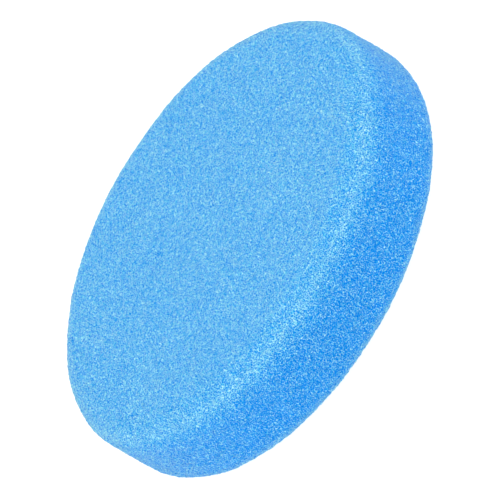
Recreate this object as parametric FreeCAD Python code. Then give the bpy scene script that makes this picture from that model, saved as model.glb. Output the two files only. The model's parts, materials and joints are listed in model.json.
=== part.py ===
import FreeCAD, Part
import os

# A disc of open-cell filter foam, cut in one piece. It lies on its back face.
# Origin: centre of the back face. +Z: along the disc's axis, out of the front face.

# Driving dimensions, in millimetres.
disc_diameter = 160.0
disc_thickness = 35.0
front_edge_radius = 10.0
back_edge_radius = 8.0

QUARTER_POINT = 0.5 ** 0.5


def edge_arc(start, centre_x, centre_z, radius, toward_z, end):
    """A quarter round between two points of the half section, bulging out and toward +Z or -Z."""
    middle = FreeCAD.Vector(
        centre_x + radius * QUARTER_POINT,
        0.0,
        centre_z + toward_z * radius * QUARTER_POINT,
    )
    return Part.Arc(start, middle, end).toShape()


def foam_disc():
    """The disc, turned from its half section: two flat faces, a straight side, two rounded edges."""
    radius = disc_diameter / 2.0

    back_centre = FreeCAD.Vector(0.0, 0.0, 0.0)
    back_flat_end = FreeCAD.Vector(radius - back_edge_radius, 0.0, 0.0)
    side_low = FreeCAD.Vector(radius, 0.0, back_edge_radius)
    side_high = FreeCAD.Vector(radius, 0.0, disc_thickness - front_edge_radius)
    front_flat_end = FreeCAD.Vector(radius - front_edge_radius, 0.0, disc_thickness)
    front_centre = FreeCAD.Vector(0.0, 0.0, disc_thickness)

    back_edge = edge_arc(
        back_flat_end, back_flat_end.x, side_low.z, back_edge_radius, -1.0, side_low
    )
    front_edge = edge_arc(
        side_high, front_flat_end.x, side_high.z, front_edge_radius, 1.0, front_flat_end
    )
    half_section = Part.Wire(
        [
            Part.makeLine(back_centre, back_flat_end),
            back_edge,
            Part.makeLine(side_low, side_high),
            front_edge,
            Part.makeLine(front_flat_end, front_centre),
            Part.makeLine(front_centre, back_centre),
        ]
    )
    axis_point = FreeCAD.Vector(0.0, 0.0, 0.0)
    axis_direction = FreeCAD.Vector(0.0, 0.0, 1.0)
    return Part.Face(half_section).revolve(axis_point, axis_direction, 360.0)


os.makedirs("parts", exist_ok=True)

sub_parts = {"foam_disc": foam_disc()}

for node, shape in sub_parts.items():
    shape.exportStep("parts/" + node + ".step")
    print(node, "volume", round(shape.Volume / 1000.0, 2), "cm3", "valid", shape.isValid())
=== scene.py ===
import json
import math

import bpy
import numpy as np
from mathutils import Matrix, Vector


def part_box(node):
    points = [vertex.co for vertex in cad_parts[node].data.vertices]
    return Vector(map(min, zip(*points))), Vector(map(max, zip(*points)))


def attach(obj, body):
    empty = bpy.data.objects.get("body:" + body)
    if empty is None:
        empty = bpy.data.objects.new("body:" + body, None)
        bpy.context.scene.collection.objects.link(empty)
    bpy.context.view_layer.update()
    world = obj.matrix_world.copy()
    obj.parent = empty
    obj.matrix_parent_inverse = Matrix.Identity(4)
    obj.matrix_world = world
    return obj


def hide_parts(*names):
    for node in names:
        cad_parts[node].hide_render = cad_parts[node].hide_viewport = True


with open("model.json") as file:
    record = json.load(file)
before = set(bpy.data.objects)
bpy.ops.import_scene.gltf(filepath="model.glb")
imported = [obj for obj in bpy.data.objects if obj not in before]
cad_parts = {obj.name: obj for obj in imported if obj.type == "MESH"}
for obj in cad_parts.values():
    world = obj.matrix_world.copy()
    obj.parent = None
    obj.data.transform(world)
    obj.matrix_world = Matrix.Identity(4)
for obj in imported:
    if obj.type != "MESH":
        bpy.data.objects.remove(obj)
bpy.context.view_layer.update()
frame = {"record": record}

# ---------------------------------------------------------------- foam disc
# One disc of open-cell polyurethane foam, a filter pad. It is cut from a block, and rubbed round
# at both edges. Nothing holds it: it lies on its back face.

# Its outline is the half section of the disc, walked from the middle of the front face, over the
# side, to the middle of the back face.

MM = 0.001
TURN = 2 * math.pi
foam_low, foam_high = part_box("foam_disc")
rim = next(m for m in frame["record"]["mounts"] if m["name"] == "rim")
radius = rim["dims"]["r_mm"] * MM
wall = rim["dims"]["length_mm"] * MM
thickness = foam_high.z - foam_low.z
back_round = rim["pos_m"][2] - wall / 2
front_round = thickness - wall - back_round

front_flat_end = radius - front_round
side_start = front_flat_end + front_round * TURN / 4
side_end = side_start + wall
back_flat_start = side_end + back_round * TURN / 4
outline_length = back_flat_start + radius - back_round


def outline(walked):
    """The skin at this walk: distance from the axis, height, and the normal's two parts."""
    front_turn = np.clip((walked - front_flat_end) / front_round, 0, TURN / 4)
    back_turn = np.clip((walked - side_end) / back_round, 0, TURN / 4)
    out = np.minimum(walked, front_flat_end) + front_round * np.sin(front_turn)
    out = out - back_round * (1 - np.cos(back_turn)) - np.maximum(walked - back_flat_start, 0)
    up = thickness - front_round * (1 - np.cos(front_turn)) - np.clip(walked - side_start, 0, wall)
    up = up - back_round * np.sin(back_turn)
    return out, up, np.sin(front_turn + back_turn), np.cos(front_turn + back_turn)


# Its cut cells: the cut goes through the cells, so every face is a net of cut struts round open
# pits. Real cells of this grade are 0.65 mm apart. The mesh has them 1.42 mm apart, as fine as two
# hundred thousand triangles allow, and the material below draws the real ones between.
# Struts sink a little below the outline, and pits go on down from there. Each pit has its own
# share of the depth. STRAY and STRUT_LEAN, how far a cell and a strut are out of place, are
# shares of a cell.

CELL = 1.42 * MM
STRAY = 0.27
FEWEST_IN_RING = 5
STRUT_SINK = 0.12 * MM
STRUT_UNEVEN = 0.10 * MM
STRUT_LEAN = 0.07
PIT_DEPTH = 0.42 * MM
PIT_SHARE = (0.75, 1.15)
WAVINESS = 0.10 * MM
WAVE_LENGTH = 18 * MM
WAVE_STRETCH = 2.5
WAVE_COUNT = 40
dice = np.random.default_rng(30)


def rings_of_cells():
    """Angles and walked distances of the cell centres, ring by ring along the outline."""
    rows = round(outline_length / (CELL * math.sqrt(3) / 2))
    step = outline_length / rows
    rings = []
    for row in range(rows + 1):
        at_pole = row in (0, rows)
        out = outline(np.array([row * step]))[0][0]
        count = 1 if at_pole else max(FEWEST_IN_RING, round(TURN * out / CELL))
        slots = np.arange(count) + dice.random() + dice.uniform(-STRAY, STRAY, count)
        walked = row * step + dice.uniform(-STRAY, STRAY, count) * step * (not at_pole)
        rings.append((np.sort(slots * TURN / count % TURN), walked))
    return rings


def middles(angles):
    """The angle half way from each point of a ring to the next."""
    following = np.append(angles[1:], angles[0] + TURN)
    return (angles + following) / 2 % TURN


def facing(edge_middles, angles):
    """The point of the other ring that each edge makes its triangle with."""
    if len(angles) == 1:
        return np.zeros(len(edge_middles), int)
    gaps = middles(angles)
    order = np.argsort(gaps)
    return (order[np.searchsorted(gaps[order], edge_middles) - 1] + 1) % len(angles)


def net_between(rings):
    """Triangles that join each ring of cell centres to the next, facing outward."""
    first = np.cumsum([0] + [len(angles) for angles, _ in rings])
    triangles = []
    for row, ((inner, _), (outer, _)) in enumerate(zip(rings, rings[1:])):
        if len(inner) > 1:
            here = np.arange(len(inner))
            ahead = (here + 1) % len(inner)
            tip = facing(middles(inner), outer)
            corners = [ahead + first[row], here + first[row], tip + first[row + 1]]
            triangles.append(np.stack(corners, 1))
        if len(outer) > 1:
            here = np.arange(len(outer))
            ahead = (here + 1) % len(outer)
            tip = facing(middles(outer), inner)
            corners = [here + first[row + 1], ahead + first[row + 1], tip + first[row]]
            triangles.append(np.stack(corners, 1))
    return np.concatenate(triangles)


def struts_round_pits(net, cells):
    """Three struts meet at each net triangle's middle. The faces run from pit to strut and back."""
    pairs = np.concatenate([net[:, [0, 1]], net[:, [1, 2]], net[:, [2, 0]]])
    junction = np.tile(np.arange(len(net)), 3) + cells
    forward = pairs[:, 0] * cells + pairs[:, 1]
    order = np.argsort(forward)
    partner = order[np.searchsorted(forward[order], pairs[:, 1] * cells + pairs[:, 0])]
    return np.stack([pairs[:, 0], junction[partner], junction], 1)


def unit(vectors):
    return vectors / np.linalg.norm(vectors, axis=1, keepdims=True)


def waves(points):
    """A smooth uneven height, about one in size: the foam gives a little as it is cut."""
    rise = np.zeros(len(points))
    for way in unit(dice.normal(size=(WAVE_COUNT, 3))):
        wave = TURN / (WAVE_LENGTH * dice.uniform(1, WAVE_STRETCH))
        rise += np.cos(points @ way * wave + dice.uniform(0, TURN))
    return rise / math.sqrt(WAVE_COUNT / 2)


rings = rings_of_cells()
net = net_between(rings)
angle = np.concatenate([angles for angles, _ in rings])
walked = np.clip(np.concatenate([distances for _, distances in rings]), 0, outline_length)
out, up, lean_out, lean_up = outline(walked)
pits = np.stack([out * np.cos(angle), out * np.sin(angle), up], 1)
pit_normals = np.stack([lean_out * np.cos(angle), lean_out * np.sin(angle), lean_up], 1)
junctions = pits[net].mean(1)
junction_normals = unit(pit_normals[net].mean(1))
faces = struts_round_pits(net, len(pits))

skin = np.concatenate([pits, junctions])
normals = np.concatenate([pit_normals, junction_normals])
height = np.concatenate(
    [
        -STRUT_SINK - PIT_DEPTH * dice.uniform(*PIT_SHARE, len(pits)),
        -STRUT_SINK + STRUT_UNEVEN * dice.normal(size=len(junctions)).clip(-2, 2),
    ]
)
lean = dice.normal(size=skin.shape) * STRUT_LEAN * CELL
lean -= normals * (lean * normals).sum(1, keepdims=True)
verts = skin + lean + normals * (height + WAVINESS * waves(skin))[:, None]
verts[:, 2] = verts[:, 2].clip(foam_low.z)

foam_mesh = bpy.data.meshes.new("foam_disc_skin")
foam_mesh.from_pydata(verts.tolist(), [], faces.tolist())
foam_mesh.polygons.foreach_set("use_smooth", [True] * len(faces))
foam = bpy.data.objects.new("filter_foam", foam_mesh)
bpy.context.scene.collection.objects.link(foam)

# The material reads three values at each point: whether it is a strut or a pit, how far onto the
# side it is, and how near to the crest of an edge, where a highlight is painted. The side is
# painted in shade, and its look comes in over the front edge and goes out over the back one.

SIDE_LOOK_BEFORE = 5.5 * MM
SIDE_LOOK_COMES_IN = 7 * MM
SIDE_LOOK_AFTER = 8.5 * MM
SIDE_LOOK_GOES_OUT = 6 * MM
CREST_IN = 7 * MM
CREST_WIDTH = 1.6 * MM
walk_of = np.concatenate([walked, walked[net].mean(1)])
onto_side = (walk_of - (side_start - SIDE_LOOK_BEFORE)) / SIDE_LOOK_COMES_IN
off_side = (side_end + SIDE_LOOK_AFTER - walk_of) / SIDE_LOOK_GOES_OUT
from_front_crest = abs(walk_of - (side_start - CREST_IN))
from_back_crest = abs(walk_of - (side_end + CREST_IN))
from_crest = np.minimum(from_front_crest, from_back_crest)
for name, values in (
    ("strut", np.concatenate([np.zeros(len(pits)), np.ones(len(junctions))])),
    ("side", np.minimum(onto_side, off_side).clip(0, 1)),
    ("crest_highlight", np.exp(-((from_crest / CREST_WIDTH) ** 2))),
):
    foam_mesh.attributes.new(name, "FLOAT", "POINT").data.foreach_set("value", values)

# Its flat map is the skin laid flat for baking: the two faces as discs, and the side as two
# strips above them.

spin_of = np.arctan2(verts[:, 1], verts[:, 0])
margin = 1.5 * CELL
front_reach = side_start + margin
back_reach = outline_length - side_end + margin
strip = wall + 2 * margin
map_width = 2 * front_reach + 2 * back_reach
map_height = 2 * max(front_reach, back_reach) + 2 * strip

face_walk = walk_of[faces].mean(1)
face_mid = skin[faces].mean(1)
face_spin = np.arctan2(face_mid[:, 1], face_mid[:, 0])[:, None]
corner_spin = spin_of[faces]
corner_spin = face_spin + (corner_spin - face_spin + math.pi) % TURN - math.pi
corner_walk = walk_of[faces]
flat = np.zeros((len(faces), 3, 2))
for part, centre, distance in (
    (face_walk < side_start, front_reach, corner_walk),
    (face_walk > side_end, 2 * front_reach + back_reach, outline_length - corner_walk),
):
    flat[part, :, 0] = centre + (distance * np.cos(corner_spin))[part]
    flat[part, :, 1] = front_reach + (distance * np.sin(corner_spin))[part]
for row, part in enumerate((face_spin[:, 0] < 0, face_spin[:, 0] >= 0)):
    part = part & (face_walk >= side_start) & (face_walk <= side_end)
    along = (corner_spin[part] + math.pi) / math.pi - row
    flat[part, :, 0] = margin + along * (map_width - 2 * margin)
    flat[part, :, 1] = map_height - (row + 1) * strip + margin + corner_walk[part] - side_start
flat /= (map_width, map_height)
bake_map = foam_mesh.uv_layers.new(name="OFBake")
bake_map.data.foreach_set("uv", flat.ravel())
foam_mesh.validate()

# Its material is polyurethane ether foam, dyed light blue in the block. It is matt all through.
# The cut strut ends are thin and pale, and the pits between them are a deeper blue, because light
# bounces about in them and takes up more of the dye each time.


def linear(code):
    """A colour given as sRGB hex, as the shader's linear red, green, blue and alpha."""
    parts = [int(code[i : i + 2], 16) / 255 for i in (0, 2, 4)]
    return [p / 12.92 if p <= 0.04045 else ((p + 0.055) / 1.055) ** 2.4 for p in parts] + [1.0]


def add_node(tree, kind, inputs, **settings):
    """A new node with these settings. Each input is a value, or another node's output to link."""
    made = tree.nodes.new(kind)
    for name, value in settings.items():
        setattr(made, name, value)
    for name, value in inputs.items():
        if isinstance(value, bpy.types.NodeSocket):
            tree.links.new(value, made.inputs[name])
        else:
            made.inputs[name].default_value = value
    return made


def cut_polyurethane_foam():
    """Threads round the real cells, cells and strut ends of uneven paleness, and a pale sheen."""
    material = bpy.data.materials.new("cut_polyurethane_foam")
    material.use_nodes = True
    tree = material.node_tree
    tree.nodes.clear()
    place = add_node(tree, "ShaderNodeTexCoord", {}).outputs["Object"]
    on_strut, on_side, crest_highlight = (
        add_node(tree, "ShaderNodeAttribute", {}, attribute_name=name).outputs["Fac"]
        for name in ("strut", "side", "crest_highlight")
    )

    # Cells are 0.65 mm apart, 39 to the inch. A real strut is about 0.1 mm thick, too fine to
    # show, so threads are drawn up to a quarter cell wide on each side, and strut ends 0.3 mm.
    real_cell = 0.65 * MM
    strut_end = 0.30 * MM
    thread_width = 0.25
    thread_proud = 0.2 * MM
    cells = {"Vector": place, "Scale": 1 / real_cell}
    cell = add_node(tree, "ShaderNodeTexVoronoi", cells)
    cell_wall = add_node(tree, "ShaderNodeTexVoronoi", cells, feature="DISTANCE_TO_EDGE")
    glint = add_node(tree, "ShaderNodeTexVoronoi", {"Vector": place, "Scale": 1 / strut_end})
    across = {"From Min": 0.0, "From Max": thread_width, "To Min": 1.0, "To Max": 0.0}
    thread = add_node(
        tree, "ShaderNodeMapRange", {"Value": cell_wall.outputs["Distance"], **across}
    ).outputs["Result"]

    # How pale each point is. It starts low, so that the shares bring the average near zero.
    pattern = -1.78
    for value, share in (
        (on_strut, 0.12),
        (thread, 1.50),
        (cell.outputs["Color"], 0.35),
        (glint.outputs["Color"], 1.20),
    ):
        inputs = {0: value, 1: share, 2: pattern}
        pattern = add_node(tree, "ShaderNodeMath", inputs, operation="MULTIPLY_ADD").outputs[0]

    # The side is painted a deeper blue, as painted shade, for the light falls less on it than on
    # the faces, and its grain has more contrast. The crest of each rounded edge gets a painted
    # highlight.
    face_contrast = 0.92
    side_adds_contrast = 0.42
    face_level = 0.50
    side_painted_shade = 0.395
    crest_highlight_lightens = 0.13
    inputs = {0: on_side, 1: side_adds_contrast, 2: face_contrast}
    contrast = add_node(tree, "ShaderNodeMath", inputs, operation="MULTIPLY_ADD").outputs[0]
    inputs = {0: on_side, 1: -side_painted_shade, 2: face_level}
    level = add_node(tree, "ShaderNodeMath", inputs, operation="MULTIPLY_ADD").outputs[0]
    # The crest of each rounded edge is painted lighter: a painted highlight.
    inputs = {0: crest_highlight, 1: crest_highlight_lightens, 2: level}
    level = add_node(tree, "ShaderNodeMath", inputs, operation="MULTIPLY_ADD").outputs[0]
    inputs = {0: pattern, 1: contrast, 2: level}
    tone = add_node(tree, "ShaderNodeMath", inputs, operation="MULTIPLY_ADD").outputs[0]

    # From the deep blue at the bottom of a pit to the pale blue of a strut end.
    colour = add_node(tree, "ShaderNodeValToRGB", {"Fac": tone})
    ramp = colour.color_ramp
    ramp.elements[0].color = linear("007EE6")
    ramp.elements[1].color = linear("BAECF6")
    for share, code in ((0.17, "008EEC"), (0.38, "15ABEA"), (0.58, "42BEEB"), (0.79, "76D1EF")):
        ramp.elements.new(share).color = linear(code)

    # Threads stand proud. Struts seen at a grazing angle hide the pits, which is the pale sheen.
    bump = add_node(
        tree, "ShaderNodeBump", {"Height": thread, "Distance": thread_proud, "Strength": 0.5}
    )
    foam_shader = add_node(
        tree,
        "ShaderNodeBsdfPrincipled",
        {
            "Base Color": colour.outputs["Color"],
            "Normal": bump.outputs["Normal"],
            "Roughness": 0.9,
            "IOR": 1.45,
            "Specular IOR Level": 0.05,
            "Sheen Weight": 0.72,
            "Sheen Tint": linear("D8FFFF"),
            "Sheen Roughness": 0.27,
        },
    )
    add_node(tree, "ShaderNodeOutputMaterial", {"Surface": foam_shader.outputs["BSDF"]})
    return material


foam_mesh.materials.append(cut_polyurethane_foam())
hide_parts("foam_disc")
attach(foam, "root")

# ---------------------------------------------------------------- floor
# A wide round sheet of white translucent acrylic, moulded matt, with a lamp under it. The light
# that comes up through it keeps the shadows on it pale.

FLOOR_REACH = 8.0
FLOOR_SIDES = 96
FLOOR_GREY = "949494"
FLOOR_GLOW = 0.90
floor_mesh = bpy.data.meshes.new("light_table")
bearings = [TURN * k / FLOOR_SIDES for k in range(FLOOR_SIDES)]
floor_mesh.from_pydata(
    [(FLOOR_REACH * math.cos(a), FLOOR_REACH * math.sin(a), foam_low.z) for a in bearings],
    [],
    [list(range(FLOOR_SIDES))],
)
floor = bpy.data.objects.new("light_table", floor_mesh)
bpy.context.scene.collection.objects.link(floor)


def lit_white_acrylic():
    material = bpy.data.materials.new("lit_white_acrylic")
    material.use_nodes = True
    shader = material.node_tree.nodes["Principled BSDF"]
    shader.inputs["Base Color"].default_value = linear(FLOOR_GREY)
    shader.inputs["Roughness"].default_value = 0.9
    shader.inputs["Emission Color"].default_value = linear("FFFFFF")
    shader.inputs["Emission Strength"].default_value = FLOOR_GLOW
    return material


floor_mesh.materials.append(lit_white_acrylic())

# ---------------------------------------------------------------- lights
# A white room, and a wide round soft box high on each side of the disc.

ROOM_LIGHT = 1.06
BOX_ACROSS = 1.1
BOX_NEARER = 0.35
BOX_ABOVE = 0.9
BOX_SIZE = 0.9
BOX_WATTS = 3.4
world = bpy.data.worlds.new("white_room")
world.use_nodes = True
world.node_tree.nodes["Background"].inputs["Color"].default_value = linear("FFFFFF")
world.node_tree.nodes["Background"].inputs["Strength"].default_value = ROOM_LIGHT
bpy.context.scene.world = world
bpy.context.scene.view_settings.view_transform = "Standard"

disc_middle = (foam_low + foam_high) / 2


def aim(thing, place, target):
    thing.location = place
    thing.rotation_mode = "QUATERNION"
    thing.rotation_quaternion = (target - place).to_track_quat("-Z", "Y")


for name, across in (("soft_box_left", -BOX_ACROSS), ("soft_box_right", BOX_ACROSS)):
    soft_box = bpy.data.objects.new(name, bpy.data.lights.new(name, "AREA"))
    soft_box.data.shape = "DISK"
    soft_box.data.size = BOX_SIZE
    soft_box.data.energy = BOX_WATTS
    bpy.context.scene.collection.objects.link(soft_box)
    aim(soft_box, disc_middle + Vector((across, -BOX_NEARER, BOX_ABOVE)), disc_middle)

# ---------------------------------------------------------------- camera
# A long lens from well back, looking down on the disc and rolled so that it stands on its edge
# in the picture. It aims a little off the disc's middle. The disc's radius is given as a share of
# the picture's width.

CAMERA_HEIGHT = math.radians(28.61)
CAMERA_ROLL = math.radians(60.41)
CAMERA_DISTANCE = 4.0
DISC_RADIUS_IN_FRAME = 0.4781
AIM_RIGHT = 1.11 * MM
AIM_DOWN = 0.85 * MM

camera = bpy.data.objects.new("camera", bpy.data.cameras.new("camera"))
bpy.context.scene.collection.objects.link(camera)
bpy.context.scene.camera = camera
backward = Vector((0, -math.cos(CAMERA_HEIGHT), math.sin(CAMERA_HEIGHT)))
level_right = Vector((1, 0, 0))
level_up = backward.cross(level_right)
right = level_right * math.cos(CAMERA_ROLL) - level_up * math.sin(CAMERA_ROLL)
upward = level_right * math.sin(CAMERA_ROLL) + level_up * math.cos(CAMERA_ROLL)
aimed_at = disc_middle + right * AIM_RIGHT - upward * AIM_DOWN
turned = Matrix((right, upward, backward)).transposed().to_4x4()
camera.matrix_world = Matrix.Translation(aimed_at + backward * CAMERA_DISTANCE) @ turned
camera.data.lens = camera.data.sensor_width * DISC_RADIUS_IN_FRAME * CAMERA_DISTANCE / radius
camera.data.clip_end = 50.0
